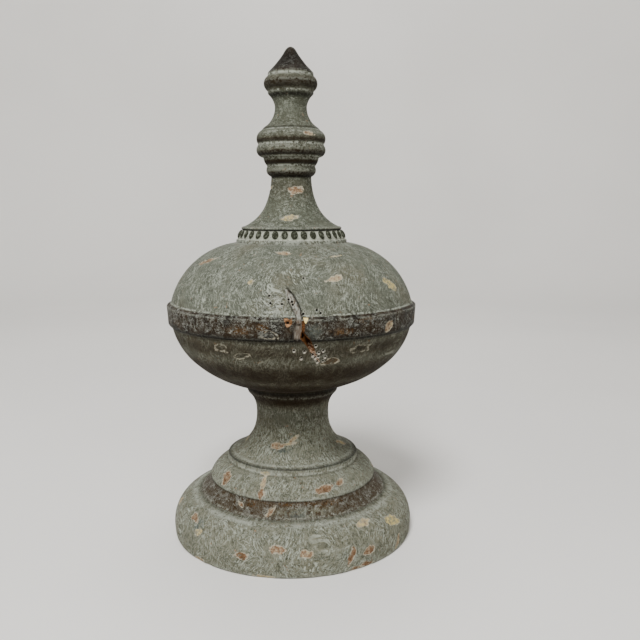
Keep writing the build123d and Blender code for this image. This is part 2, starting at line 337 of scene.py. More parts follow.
# ======================= relief and paint at each point ====================
def bead_height(turn, along):
    """Height of the bead row over its seat."""
    pitch = 360 / BEADS
    number = np.round((turn - BEAD_TURN) / pitch)
    off = turn - BEAD_TURN - number * pitch
    low, high = along_at_height(SEAT[0] + 0.15), along_at_height(SEAT[1] - 0.1)
    u = np.radians(off) * at(along, outline[:, 0])
    v = along - (low + high) / 2
    size = 1 + 0.05 * noise(np.stack((number % BEADS, u * 0, u * 0), -1) * 7.3, 3.0, 5)
    u = u + 0.25 * v / BEAD_LONG * noise(np.stack((number % BEADS, u * 0, u * 0), -1) * 5.1, 3.0, 6)
    q = (u / (BEAD_WIDE * size)) ** 2 + (v / (BEAD_LONG * size)) ** 2
    near = (along > low - 0.4) & (along < high + 0.4)
    return np.where(near, BEAD_DEEP * np.sqrt(np.clip(1 - q, 0, 1)) - BEAD_SUNK, -BEAD_SUNK)


def all_flakes():
    """The listed flakes, and others placed by chance round the back."""
    chance = np.random.default_rng(11)
    flakes = list(FLAKES)
    for k in range(BACK_FLAKES):
        low, high = BACK_HEIGHTS[k % len(BACK_HEIGHTS)]
        turn, height = chance.uniform(78, 282), chance.uniform(low, high)
        wide, tall = chance.uniform(3, 8), chance.uniform(1.6, 3.6)
        tone = 0.3 if 140 < height < 180 else chance.uniform(1.6, 3.4)
        flakes.append((turn, height, wide, tall, chance.uniform(-30, 30), tone))
    return flakes


def flake_field(turn, along, ring, points):
    """Signed distance to the nearest flake, and its tone."""
    nearest, tone = np.full(turn.shape, FAR), np.full(turn.shape, 2.0)
    ragged = 0.6 * noise(points, 2.4, 21) + 0.4 * noise(points, 1.2, 22)
    shift_u, shift_v = 2.0 * noise(points, 5.0, 23), 1.3 * noise(points, 4.2, 24)
    for flake_turn, height, half_u, half_v, lean, kind in all_flakes():
        u = np.radians((turn - flake_turn + 180) % 360 - 180) * ring
        v = along - along_at_height(height)
        loose = min(half_u, half_v) / 3.0
        d = inside_oval(u + shift_u * loose, v + shift_v * loose, half_u, half_v, lean)
        d = d + ragged * 1.1 * loose
        tone = np.where(d > nearest, kind, tone)
        nearest = np.maximum(nearest, d)
    return nearest, tone


def lines(z, rows):
    """Soft level lines, each with its own strength."""
    total = np.zeros(z.shape)
    for height, half, strength in rows:
        total = np.maximum(total, strength * bump_at(z, height, half))
    return total


def patches(turn, z, ring, rows):
    """Soft-edged ovals, each with its own strength."""
    total = np.zeros(turn.shape)
    for patch_turn, height, half_u, half_v, strength in rows:
        u = np.radians((turn - patch_turn + 180) % 360 - 180) * ring
        d = inside_oval(u, z - height, half_u, half_v, 0) / half_v
        total = np.maximum(total, strength * ramp(d, -0.4, 0.6))
    return total


def dark_field(z):
    """Signed distance into the dark stained zones."""
    nearest = np.full(z.shape, FAR)
    for low, high in DARK_ZONES:
        nearest = np.maximum(nearest, np.minimum(z - low, high - z))
    return nearest


def worn_fields(turn, along, ring, points, wobble):
    """Signed distance into each part of the worn front, positive inside."""
    x, z, front = points[..., 0], points[..., 2], points[..., 1] < 0
    fields = {}
    for name, corners, ragged in WORN_SHAPES:
        fields[name] = np.where(front, inside_polygon(x, z, corners) + ragged * wobble, FAR)
    hole_x, hole_z, hole_r = KNOT_HOLE
    fields["pit"] = np.where(front, hole_r - np.hypot(x - hole_x, (z - hole_z) * 1.3), FAR)
    beetle, chip = np.full(turn.shape, FAR), np.full(turn.shape, FAR)
    for hole_turn, height in BEETLE_HOLES:
        u = np.radians(turn - hole_turn) * ring
        v = along - along_at_height(height)
        beetle = np.maximum(beetle, BEETLE_R - np.hypot(u, v))
        # painted highlight: a bright spot on the lower rim of each low hole, where light falls on the
        # hole's wall
        if height < RIM_HIGHLIGHTS_BELOW:
            chip = np.maximum(chip, RIM_HIGHLIGHT_R - np.hypot(u * 0.8, v + 1.1) + 0.3 * wobble)
    fields.update(beetle=beetle, chip=chip)
    return fields


def channel_floor(z):
    """Radius of the channel's floor, a parabola through CHANNEL_FLOOR."""
    (r0, z0), (r1, z1), (r2, z2) = CHANNEL_FLOOR
    return (r0 * (z - z1) * (z - z2) / ((z0 - z1) * (z0 - z2))
            + r1 * (z - z0) * (z - z2) / ((z1 - z0) * (z1 - z2))
            + r2 * (z - z0) * (z - z1) / ((z2 - z0) * (z2 - z1)))


def turned_relief(points, crest, flake, bead):
    """How far the paint, dents, flakes and beads stand out from the outline."""
    push = -0.16 + 0.10 * noise(points, 34, 1) + 0.05 * noise(points, 9, 2)
    push = push + 0.045 * noise(points, 2.4, 3)
    dents = ramp(noise(points, 5.5, 4), 0.45, 0.9) * np.clip(crest / 0.3, 0, 1)
    push = push - 0.55 * dents
    push = push - FLAKE_DEPTH * ramp(flake, -0.25, 0.45) + 0.10 * bump_at(flake, -0.7, 0.4)
    return push + np.maximum(bead, 0)


def worn_relief(push, points, ring, worn):
    """The same with the channel, split, knot and beetle holes cut into it."""
    x, z, front = points[..., 0], points[..., 2], points[..., 1] < 0
    drop = np.clip(ring - channel_floor(z), 0.4, 6)
    groove = ramp(worn["channel"], -0.1, 0.8)
    push = push * (1 - groove) - groove * (drop + 0.35 * noise(points, 3.0, 33))
    push = push - 1.2 * np.where(front, bump_at(off_path(x, z, CHANNEL_EDGE), 0, 0.5), 0)
    push = push - SLIVER_DEPTH * ramp(worn["sliver"], -0.2, 0.6) * (1 - groove)
    push = push - KNOT_DEPTH * ramp(worn["knot"], -0.2, 0.6)
    push = push - PIT_DEPTH * ramp(worn["pit"], -0.2, 0.7)
    push = push - CREAM_DEPTH * ramp(worn["cream"], -0.1, 0.7)
    run_out = 0.15 + 0.85 * ramp(z, *SPLIT_FLOOR)
    split = run_out * ramp(worn["split"], -0.15, 2.4) * (1 + 0.2 * noise(points, 4, 34))
    push = push - SPLIT_DEPTH * split
    push = push - TAIL_DEPTH * ramp(worn["tail"], -0.2, 0.4)
    return push - BEETLE_DEPTH * ramp(worn["beetle"], -0.15, 0.5)


def shade_lines_and_channel_edges(points, wobble):
    """Painted shade: dark level lines in the grooves and under the rims; and dark lines along the
    channel's edges.
    """
    x, z, front = points[..., 0], points[..., 2], points[..., 1] < 0
    right = bump_at(off_path(x, z, CHANNEL_EDGE) + 0.25 * wobble, 0.0, 0.75)
    left = bump_at(off_path(x, z, CHANNEL_LEFT) + 0.4 * wobble, 0.0, 0.6)
    edges = np.where(front, np.maximum(right, 0.8 * left), 0)
    return np.maximum(lines(z, PAINTED_SHADE_LINES), edges)


def front_pale_field(turn, z, ring):
    """The chalky patches round the damage."""
    total = np.zeros(turn.shape)
    for patch_turn, height, half_u, half_v in PALE_FRONT:
        u = np.radians(turn - patch_turn) * ring
        total = np.maximum(total, ramp(inside_oval(u, z - height, half_u, half_v, 0), -4, 5))
    return total


def seat_field(z):
    """1 on the plain seat under the beads."""
    return ramp(z, SEAT[0] - 0.4, SEAT[0] + 0.4) * (1 - ramp(z, SEAT[1] - 0.9, SEAT[1] - 0.2))


def shape_and_paint(turn, along):
    """Points in millimetres, and the paint values there, for grids of turn and along."""
    ring, z = at(along, outline[:, 0]), at(along, outline[:, 1])
    out_r, out_z = at(along, OUTWARD[:, 0]), at(along, OUTWARD[:, 1])
    a = np.radians(turn)
    turned = np.stack((ring * np.sin(a), -ring * np.cos(a), z), -1)
    outward = np.stack((out_r * np.sin(a), -out_r * np.cos(a), out_z), -1)

    crest = at(along, CREST)
    above_table = ramp(z, 0.02, 0.3)
    flake, tone = flake_field(turn, along, ring, turned)
    bead = bead_height(turn, along)
    wobble = 0.5 * noise(turned, 2.2, 31) + 0.25 * noise(turned, 1.1, 32)
    worn = worn_fields(turn, along, ring, turned, wobble)
    push = turned_relief(turned, crest, flake, bead)
    push = worn_relief(push, turned, ring, worn) * above_table
    points = turned + push[..., None] * outward
    points[..., 2] = np.maximum(points[..., 2], 0)

    paint = {
        "along": along, "dark": dark_field(z), "pale": lines(z, PALE_LINES_AND_HIGHLIGHTS),
        "rust": patches(turn, z, ring, RUST_PATCHES), "cover": patches(turn, z, ring, COVER_PATCHES),
        "curl": patches(turn, z, ring, CURL_PATCHES), "spot": patches(turn, z, ring, SPOTS),
        "bead": bead, "seat": seat_field(z), "spire": ramp(z, *SPIRE_FROM),
        "foot_painted_light": 1 - ramp(z, *FOOT_PAINTED_LIGHT_BELOW), "line": shade_lines_and_channel_edges(turned, wobble),
        "glaze_and_shade": lines(z, GLAZE_AND_PAINTED_SHADE), "crest": np.clip(crest / 0.35, -1, 1),
        "flake": flake, "tone": tone, "front_pale": front_pale_field(turn, z, ring),
        "base": 1 - above_table, **worn,
    }
    return points, paint


# ======================= meshes ============================================
def mesh_rows(name, low, high, row_step):
    """Distances along the outline at which a zone has its rows."""
    start = along_at_height(low)
    end = ALONG[-1] if high == TOP else along_at_height(high)
    close = []
    for bottom, top in CRISP_HEIGHTS:
        if bottom < high and top > low:
            close.append((along_at_height(max(low, bottom)), along_at_height(min(high, top)), CRISP_ROWS))
    if name.startswith("belly"):
        close.append((along_at_height(max(low, WORN_HEIGHT[0])),
                      along_at_height(min(high, WORN_HEIGHT[1])), WORN_ROWS))
    rows = spread(start, end, row_step, close)
    if low == 0:
        across = np.linspace(4, UNDERSIDE_R, UNDERSIDE_ROWS)
        rows = np.concatenate((across, rows[rows > UNDERSIDE_R + 1]))
    return rows[:-1] if high == TOP else rows


def build_zone(name, low, high, girth, columns, row_step):
    """One band of the turned surface, as a closed ring of quads."""
    rows = mesh_rows(name, low, high, row_step)
    worn_columns = [(*WORN_TURN, WORN_COLUMNS)] if name.startswith("belly") else []
    turns = spread(-180, 180, 360 / columns, worn_columns)[:-1]
    grid_turn, grid_along = np.meshgrid(turns, rows)
    points, paint = shape_and_paint(grid_turn, grid_along)
    n_rows, n_cols = grid_turn.shape
    index = np.arange(n_rows * n_cols).reshape(n_rows, n_cols)
    right = np.roll(index, -1, axis=1)
    quads = np.stack((index[:-1], right[:-1], right[1:], index[1:]), -1).reshape(-1, 4)
    verts = points.reshape(-1, 3)
    faces = [tuple(q) for q in quads.tolist()]
    caps = []
    if low == 0:
        caps.append((0, (0.0, 0.0, 0.0)))
    if high == TOP:
        caps.append((n_rows - 1, (0.0, 0.0, verts[index[-1], 2].mean() + 0.02)))
    for row, centre in caps:
        middle = len(verts)
        verts = np.vstack((verts, centre))
        ends = zip(index[row].tolist(), right[row].tolist())
        faces += [(b, a, middle) if row == 0 else (a, b, middle) for a, b in ends]
    mesh = bpy.data.meshes.new(name)
    mesh.from_pydata((verts * MM).tolist(), [], faces)
    for key, values in paint.items():
        flat = values.reshape(-1)
        extra = [flat[index[row]].mean() for row, _ in caps]
        set_values(mesh, key, np.concatenate((flat, extra)))
    set_values(mesh, "girth", np.full(len(verts), girth))
    mesh.polygons.foreach_set("use_smooth", np.ones(len(faces), bool))
    mesh.update()
    piece = bpy.data.objects.new(name, mesh)
    bpy.context.scene.collection.objects.link(piece)
    return piece


def set_values(mesh, name, values):
    """Store one number per vertex, which the material reads by name."""
    layer = mesh.attributes.new(name, "FLOAT", "POINT")
    layer.data.foreach_set("value", values.astype(np.float32))


# ======================= material ==========================================
class Nodes:
    """Short calls for building a shader's nodes."""

    def __init__(self, name):
        self.material = bpy.data.materials.new(name)
        self.material.use_nodes = True
        self.tree = self.material.node_tree
        self.tree.nodes.clear()

    def add(self, kind, inputs=(), **settings):
        node = self.tree.nodes.new(kind)
        for key, value in settings.items():
            setattr(node, key, value)
        for socket, value in dict(inputs).items():
            self.put(node.inputs[socket], value)
        return node

    def put(self, socket, value):
        if isinstance(value, bpy.types.NodeSocket):
            self.tree.links.new(value, socket)
        else:
            socket.default_value = value

    def value(self, name):
        return self.add("ShaderNodeAttribute", attribute_name=name).outputs["Fac"]

    def math(self, operation, a, b=0.0):
        return self.add("ShaderNodeMath", {0: a, 1: b}, operation=operation).outputs[0]

    def times(self, a, b):
        return self.math("MULTIPLY", a, b)

    def plus(self, a, b):
        return self.math("ADD", a, b)

    def most(self, a, b):
        return self.math("MAXIMUM", a, b)

    def ramp(self, value, low, high, to_low=0.0, to_high=1.0):
        node = self.add("ShaderNodeMapRange", {0: value, 1: low, 2: high, 3: to_low, 4: to_high},
                        interpolation_type="SMOOTHSTEP")
        return node.outputs[0]

    def mix(self, amount, a, b):
        node = self.add("ShaderNodeMix", {0: amount, 6: a, 7: b}, data_type="RGBA")
        return node.outputs[2]

    def blend(self, amount, a, b):
        """Number part way from a to b."""
        return self.add("ShaderNodeMix", {0: amount, 2: a, 3: b}).outputs[0]

    def noise(self, vector, wavelength, detail=2.0, rough=0.5, warp=0.0):
        node = self.add("ShaderNodeTexNoise",
                        {"Vector": vector, "Scale": 1.0 / wavelength, "Detail": detail,
                         "Roughness": rough, "Distortion": warp})
        return node.outputs["Fac"]

    def stretch(self, vector, x, y, z):
        return self.add("ShaderNodeVectorMath", {0: vector, 1: (x, y, z)},
                        operation="MULTIPLY").outputs[0]


def srgb(r, g, b):
    """Shader colour for an 8-bit display colour."""
    return (*[((c / 255 + 0.055) / 1.055) ** 2.4 if c > 10 else c / 255 / 12.92
              for c in (r, g, b)], 1.0)


def paint_coordinates(n):
    """Object position in mm, and a wrapped one whose Z runs along the outline."""
    place = n.add("ShaderNodeTexCoord").outputs["Object"]
    place = n.stretch(place, 1000, 1000, 1000)
    flat = n.add("ShaderNodeVectorMath", {0: n.stretch(place, 1, 1, 0)}, operation="NORMALIZE")
    ring = n.add("ShaderNodeVectorMath", {0: flat.outputs[0]}, operation="SCALE")
    n.put(ring.inputs["Scale"], n.value("girth"))
    rise = n.add("ShaderNodeCombineXYZ", {"Z": n.value("along")}).outputs[0]
    wrap = n.add("ShaderNodeVectorMath", {0: ring.outputs[0], 1: rise}, operation="ADD")
    return place, wrap.outputs[0]


def stroke_field(n, wrap, bend, width, length, seed):
    """Noise drawn out into strokes up the outline. bend is a sideways turn in radians."""
    turned = n.add("ShaderNodeVectorRotate", {"Vector": wrap, "Angle": bend},
                   rotation_type="Z_AXIS").outputs[0]
    moved = n.add("ShaderNodeVectorMath", {0: turned, 1: (seed * 37.0, seed * 11.0, seed * 23.0)},
                  operation="ADD").outputs[0]
    thin = n.stretch(moved, 1 / width, 1 / width, 1 / length)
    return n.noise(thin, 1.0, 1.0, 0.5, 0.25)


def squiggles(n, place, size, thickness, warp):
    """Thin wandering lines, broken into short lengths."""
    field = n.noise(place, size, 2.0, 0.55, warp)
    line = n.math("ABSOLUTE", n.plus(field, -0.5))
    line = n.ramp(line, thickness * 0.4, thickness, 1.0, 0.0)
    parts = n.ramp(n.noise(n.stretch(place, 1.0, -1.0, 1.0), size * 1.3, 1.0), 0.46, 0.56)
    return n.times(line, parts)


def two_squiggles(n, t, first, second, thickness, warps):
    """Two layers of squiggles of the given sizes laid over each other."""
    return n.most(squiggles(n, t.place, first, thickness, warps[0]),
                  squiggles(n, t.drift, second, thickness, warps[1]))


def brush_marks(n, t):
    """Light combed strokes and curls, and dark lines beside them, painted shadow of their raised relief.
    """
    bend = n.times(n.plus(n.noise(t.place, 32.0, 0.0), -0.5), 0.5)
    back = n.times(n.plus(n.noise(t.drift, 36.0, 0.0), -0.5), -0.5)
    comb = stroke_field(n, t.wrap, bend, 0.85, 3.8, 1)
    other = stroke_field(n, t.wrap, back, 0.8, 3.4, 2)
    around = stroke_field(n, t.wrap, 0.0, 3.0, 0.85, 4)
    choose = n.ramp(n.noise(t.place, 17.0, 1.0), 0.49, 0.52)
    comb = n.blend(choose, comb, other)
    comb = n.blend(n.times(n.value("spire"), 0.7), comb, around)
    dense = n.ramp(n.noise(t.place, 15.0, 3.0, 0.6), 0.36, 0.62, 0.3, 1.0)
    light = n.ramp(comb, 0.58, 0.615)
    # painted shadow: dark lines beside the raised strokes and curls, for the shade of their relief
    dark = n.times(n.ramp(comb, 0.44, 0.39), n.ramp(n.noise(t.drift, 8.0, 2.0), 0.4, 0.6, 0.45, 1.0))
    curls = two_squiggles(n, t, 2.8, 2.2, 0.04, (0.8, 0.6))
    light = n.times(n.most(light, n.times(curls, 0.9)), dense)
    dark = n.most(n.times(dark, 0.8), squiggles(n, n.stretch(t.drift, -1, 1, 1), 3.0, 0.045, 0.6))
    quiet = n.ramp(n.value("spire"), 0.0, 1.0, 1.0, 0.85)
    return n.times(light, quiet), n.times(dark, quiet)


def shared_textures(n):
    """The coordinates, noises and brush marks that several layers use."""
    t = SimpleNamespace()
    t.place, t.wrap = paint_coordinates(n)
    moved = n.add("ShaderNodeVectorMath", {0: t.place, 1: (71.0, 13.0, 47.0)}, operation="ADD")
    t.drift = moved.outputs[0]
    t.patch = n.noise(t.place, 14.0, 3.0, 0.6)
    t.fine = n.noise(t.place, 1.8, 2.0, 0.6)
    t.speck = n.noise(t.place, 1.0, 1.0)
    t.ragged = n.times(n.plus(n.noise(t.place, 3.2, 3.0, 0.65), -0.5), 3.4)
    t.crisp = n.times(n.plus(n.noise(t.place, 1.5, 3.0, 0.65), -0.5), 2.0)
    t.grain = n.noise(n.stretch(t.place, 0.5, 0.5, 1.6), 1.6, 3.0, 0.6)
    t.marks, t.gaps = brush_marks(n, t)
    return t


def by_foot(n, above, on_foot):
    """One strength above the foot and another on it."""
    return n.ramp(n.value("foot_painted_light"), 0.0, 1.0, above, on_foot)


def sage_paint(n, t):
    """Sage paint in three tones under light brush marks, with painted shadow in the dark gaps beside
    them, and painted light on the foot.
    """
    broad = n.noise(t.place, 48.0, 2.0)
    sage = n.mix(n.ramp(t.patch, 0.35, 0.66), srgb(87, 90, 79), srgb(98, 101, 89))
    sage = n.mix(n.times(n.ramp(broad, 0.45, 0.7), 0.5), sage, srgb(99, 93, 75))
    # painted light: the sage is lighter on the foot, for the light falling on it
    sage = n.mix(n.times(n.value("foot_painted_light"), 0.6), sage, srgb(120, 119, 102))
    sage = n.mix(n.times(n.value("spire"), 0.8), sage, srgb(76, 79, 67))
    # painted shadow: the dark gaps beside the light strokes
    sage = n.mix(n.times(t.gaps, by_foot(n, 0.5, 0.75)), sage, srgb(50, 52, 40))
    sage = n.mix(n.times(t.marks, by_foot(n, 0.76, 0.95)), sage, srgb(159, 164, 151))
    sage = n.mix(n.ramp(t.speck, 0.68, 0.73, 0.0, 0.8), sage, srgb(40, 38, 28))
    fleck = n.ramp(n.noise(t.drift, 4.2, 3.0, 0.6), 0.68, 0.71)
    return n.mix(n.times(fleck, 0.75), sage, srgb(138, 112, 88))


def add_glaze_and_painted_shade(n, t, coat):
    """Painted shade in brown under the belly, on the stem and on the lower halves of the rolls; a real
    brown glaze on the knop, spire and tip; painted shade in the hollows; and the blue-grey smudges.
    """
    uneven = n.ramp(n.noise(t.place, 8.0, 4.0, 0.6), 0.3, 0.6, 0.88, 1.0)
    # painted shade, in brown, where the lower belly, the stem and the rolls' undersides face away from
    # the light; brown glaze on the knop, spire and tip
    glaze_and_shade = n.times(n.value("glaze_and_shade"), uneven)
    glaze_and_shade_colour = n.mix(n.times(t.gaps, 0.6), srgb(44, 32, 14), srgb(20, 13, 4))
    glaze_and_shade_colour = n.mix(n.times(t.marks, 0.36), glaze_and_shade_colour, srgb(90, 78, 54))
    coat = n.mix(n.times(glaze_and_shade, 0.88), coat, glaze_and_shade_colour)
    coat = n.mix(n.ramp(glaze_and_shade, 0.6, 1.0, 0.0, 0.85), coat, srgb(25, 15, 3))
    # painted shade darkening the concave hollows of the outline
    hollow_shade = n.ramp(n.value("crest"), -0.3, -1.0)
    coat = n.mix(n.times(hollow_shade, 0.35), coat, srgb(46, 40, 28))
    smudge = n.times(n.value("spot"), n.ramp(n.noise(t.place, 3.0, 3.0, 0.7), 0.42, 0.56))
    return n.mix(n.times(smudge, 0.8), coat, srgb(52, 66, 68))


def stained_wood(n, t, sage):
    """The dark zones' stain with rust, light curls, sage and blue on it, and the curls."""
    stain = n.mix(n.ramp(t.patch, 0.35, 0.62), srgb(22, 15, 8), srgb(44, 33, 19))
    # painted light: the stain is lighter on the foot too
    stain = n.mix(n.times(n.value("foot_painted_light"), 0.6), stain, srgb(68, 54, 34))
    rust = n.times(n.value("rust"), n.ramp(n.noise(t.place, 3.0, 3.0, 0.65), 0.4, 0.5))
    stain = n.mix(rust, stain, n.mix(n.ramp(t.fine, 0.3, 0.7), srgb(38, 27, 12), srgb(90, 62, 27)))
    curls = two_squiggles(n, t, 2.4, 1.9, 0.04, (0.9, 0.8))
    curls = n.most(curls, n.times(t.marks, by_foot(n, 0.35, 0.7)))
    thick = n.plus(n.times(n.value("curl"), 0.14), n.noise(t.place, 6.0, 2.0))
    curls = n.times(curls, n.ramp(thick, 0.44, 0.66, 0.3, 1.0))
    stain = n.mix(curls, stain, srgb(140, 142, 134))
    cover = n.times(n.value("cover"), n.ramp(n.noise(t.place, 5.0, 3.0, 0.7), 0.4, 0.5))
    stain = n.mix(n.times(cover, 0.75), stain, sage)
    blue = n.times(n.value("spot"), n.ramp(n.noise(t.drift, 3.0, 3.0, 0.7), 0.44, 0.54))
    stain = n.mix(n.times(blue, 0.7), stain, srgb(66, 74, 72))
    # darker again where that brown is laid: painted shade on the hoop's lower edge, brown glaze on the
    # tip
    return n.mix(n.times(n.value("glaze_and_shade"), 0.75), stain, srgb(13, 8, 3)), curls


def add_light_paint(n, t, coat):
    """Light paint rubbed on the crests and lying along the fillets, and painted highlights on the tops of
    the rolls and the knop.
    """
    rubbed = n.times(n.ramp(n.value("crest"), 0.3, 1.0), n.ramp(t.fine, 0.42, 0.56))
    streak = n.ramp(n.plus(t.fine, n.times(n.plus(t.patch, -0.5), 0.6)), 0.42, 0.56)
    # pale lines: pale paint in the fillets, and painted highlights on the roll and knop tops
    light = n.most(n.times(rubbed, 0.35), n.times(n.value("pale"), streak))
    return n.mix(light, coat, srgb(158, 162, 150))


def add_bead_row(n, t, coat):
    """Dark beads with painted highlights on their tops, on a pale seat."""
    bead = n.ramp(n.plus(n.value("bead"), n.times(t.crisp, 0.4)), 0.5, 1.0)
    seat = n.ramp(n.value("seat"), 0.1, 0.6)
    coat = n.mix(n.times(seat, n.ramp(t.fine, 0.3, 0.5, 0.4, 0.95)), coat, srgb(160, 163, 149))
    # painted highlight: specks of lighter paint on the bead tops, where the light catches them
    top = n.times(n.ramp(n.value("bead"), 0.9, 1.6), n.ramp(n.noise(t.drift, 1.7, 2.0), 0.54, 0.62))
    return n.mix(bead, coat, n.mix(top, srgb(47, 49, 38), srgb(92, 95, 83)))


def add_chalky_front(n, t, coat):
    """The paler curls and dark dots round the damage."""
    front = two_squiggles(n, t, 2.4, 2.0, 0.05, (1.0, 0.8))
    front = n.times(n.value("front_pale"), n.most(front, n.times(t.marks, 0.7)))
    front = n.times(front, n.ramp(n.noise(t.place, 6.0, 2.0), 0.36, 0.56, 0.35, 1.0))
    coat = n.mix(n.times(front, 0.7), coat, srgb(164, 169, 159))
    dotted = n.ramp(n.noise(t.drift, 1.8, 2.0, 0.6), 0.58, 0.63)
    dotted = n.times(n.value("front_pale"), dotted)
    return n.mix(n.times(dotted, 0.8), coat, srgb(48, 50, 44))


def tone_colour(n, tone):
    """Colour of a bared flake: brown, rust, pink tan, cream, yellow cream."""
    colours = (srgb(62, 50, 34), srgb(92, 68, 46), srgb(124, 98, 76), srgb(162, 148, 122),
               srgb(192, 176, 118))
    stops = n.add("ShaderNodeValToRGB", {0: n.ramp(tone, 0.0, 4.0)})
    band = stops.color_ramp
    while len(band.elements) < len(colours):
        band.elements.new(0.5)
    for k, colour in enumerate(colours):
        band.elements[k].position = k / (len(colours) - 1)
        band.elements[k].color = colour
    return stops.outputs[0]


def add_flakes(n, t, coat):
    """Flakes down to the primer and the wood, with pale broken rims, and where they are."""
    tone = n.plus(n.value("tone"), n.times(n.plus(n.noise(t.place, 2.4, 3.0, 0.7), -0.5), 4.0))
    edge = n.plus(n.value("flake"), t.crisp)
    bared = n.times(n.ramp(edge, -0.05, 0.1), n.ramp(n.value("tone"), 0.25, 1.0))
    bits = n.plus(n.noise(t.place, 2.2, 3.0, 0.7), n.ramp(n.value("tone"), 2.5, 3.4, 0.0, -0.1))
    worn = n.ramp(bits, 0.36, 0.44, 0.25, 1.0)
    coat = n.mix(n.times(bared, worn), coat, tone_colour(n, tone))
    rim = n.ramp(n.math("ABSOLUTE", n.plus(edge, -0.05)), 0.5, 0.12)
    rim = n.times(rim, n.ramp(n.noise(t.drift, 3.0, 2.0), 0.38, 0.52, 0.1, 0.9))
    rim = n.times(rim, n.ramp(n.value("tone"), 0.2, 1.2, 0.55, 1.0))
    return n.mix(rim, coat, srgb(176, 170, 150)), bared


def add_channel(n, t, coat):
    """The chalky channel, and the dark lines: painted shade in the grooves, and lines along the channel's
    edges.
    """
    streaks = n.noise(n.stretch(t.place, 1.6, 1, 0.35), 1.8, 3.0)
    chalk = n.mix(n.ramp(streaks, 0.4, 0.6), srgb(98, 92, 82), srgb(148, 148, 139))
    chalk = n.mix(n.ramp(n.noise(t.place, 3.6, 2.0), 0.6, 0.66), chalk, srgb(70, 56, 42))
    chalk = n.mix(n.ramp(n.value("dark"), -0.5, 1.5, 0.0, 0.6), chalk, srgb(96, 82, 70))
    inside = n.ramp(n.plus(n.value("channel"), n.times(t.crisp, 0.3)), -0.05, 0.25)
    coat = n.mix(inside, coat, chalk)
    # painted shade: the dark level lines in the grooves, and the dark lines along the channel's edges
    groove = n.times(n.value("line"), n.ramp(t.fine, 0.3, 0.55, 0.65, 1.0))
    return n.mix(groove, coat, srgb(16, 12, 7))


def add_bared_wood(n, t, coat):
    """The sliver, the knot, the chipped cream spot, the split and its torn tail."""
    raw = n.mix(n.ramp(t.grain, 0.4, 0.62), srgb(68, 42, 21), srgb(108, 71, 40))
    coat = n.mix(n.ramp(n.value("sliver"), -0.1, 0.2), coat, raw)
    amber = n.mix(n.ramp(t.grain, 0.4, 0.6), srgb(96, 64, 38), srgb(162, 124, 90))
    coat = n.mix(n.ramp(n.value("knot"), -0.1, 0.2), coat, amber)
    coat = n.mix(n.ramp(n.value("cream"), -0.1, 0.15), coat, srgb(226, 204, 138))
    # raw wood inside the split, painted darker deeper down as painted shade
    lining = n.mix(n.ramp(n.value("split"), 0.3, 2.2), srgb(86, 54, 24), srgb(66, 38, 14))
    lining = n.mix(n.ramp(t.grain, 0.55, 0.62), lining, srgb(60, 30, 12))
    coat = n.mix(n.ramp(n.value("split"), -0.1, 0.1), coat, lining)
    torn = n.mix(n.ramp(t.grain, 0.46, 0.56), srgb(84, 54, 30), srgb(166, 140, 118))
    torn_edge = n.plus(n.value("tail"), n.times(t.crisp, 0.5))
    return n.mix(n.ramp(torn_edge, -0.1, 0.2, 0.0, 0.9), coat, torn)


def add_beetle_holes(n, t, coat):
    """Holes filled with painted shade, with light halos and, on the lower ones, a painted highlight on
    the lower rim.
    """
    # painted highlight on the lower rims of the low holes
    bright = n.ramp(n.plus(n.value("chip"), n.times(t.crisp, 0.3)), 0.0, 0.2)
    coat = n.mix(n.times(bright, 0.85), coat, srgb(190, 182, 168))
    halo = n.ramp(n.math("ABSOLUTE", n.plus(n.value("beetle"), 0.4)), 0.45, 0.1)
    halo = n.times(halo, n.ramp(t.speck, 0.44, 0.52, 0.0, 0.7))
    coat = n.mix(halo, coat, srgb(168, 166, 154))
    # painted shade: the beetle holes and the knot's pit are filled near-black
    bored = n.most(n.ramp(n.value("beetle"), -0.05, 0.12), n.ramp(n.value("pit"), 0.0, 0.25))
    return n.mix(bored, coat, srgb(12, 9, 6))


def add_underside(n, t, coat):
    """Bare, darkened wood under the foot."""
    grain = n.noise(n.stretch(t.place, 0.14, 1.2, 1.0), 2.2, 4.0, 0.6, 0.4)
    wood = n.mix(n.ramp(grain, 0.35, 0.65), srgb(84, 62, 40), srgb(130, 100, 68))
    return n.mix(n.ramp(n.value("base"), 0.5, 0.9), coat, wood)


def paint_bump(n, t, bared, curls_in_stain):
    """Fine relief in millimetres: raised marks and curls, sunk gaps and flakes."""
    height = n.plus(n.times(t.marks, 0.22), n.times(t.fine, 0.14))
    height = n.plus(height, n.times(t.patch, 0.25))
    height = n.plus(height, n.times(t.gaps, -0.2))
    height = n.plus(height, n.times(bared, -0.25))
    height = n.plus(height, n.times(curls_in_stain, 0.14))
    height = n.plus(height, n.times(n.ramp(t.speck, 0.6, 0.7), -0.12))
    bump = n.add("ShaderNodeBump", {"Height": height, "Distance": MM, "Strength": 1.0})
    return bump.outputs[0]


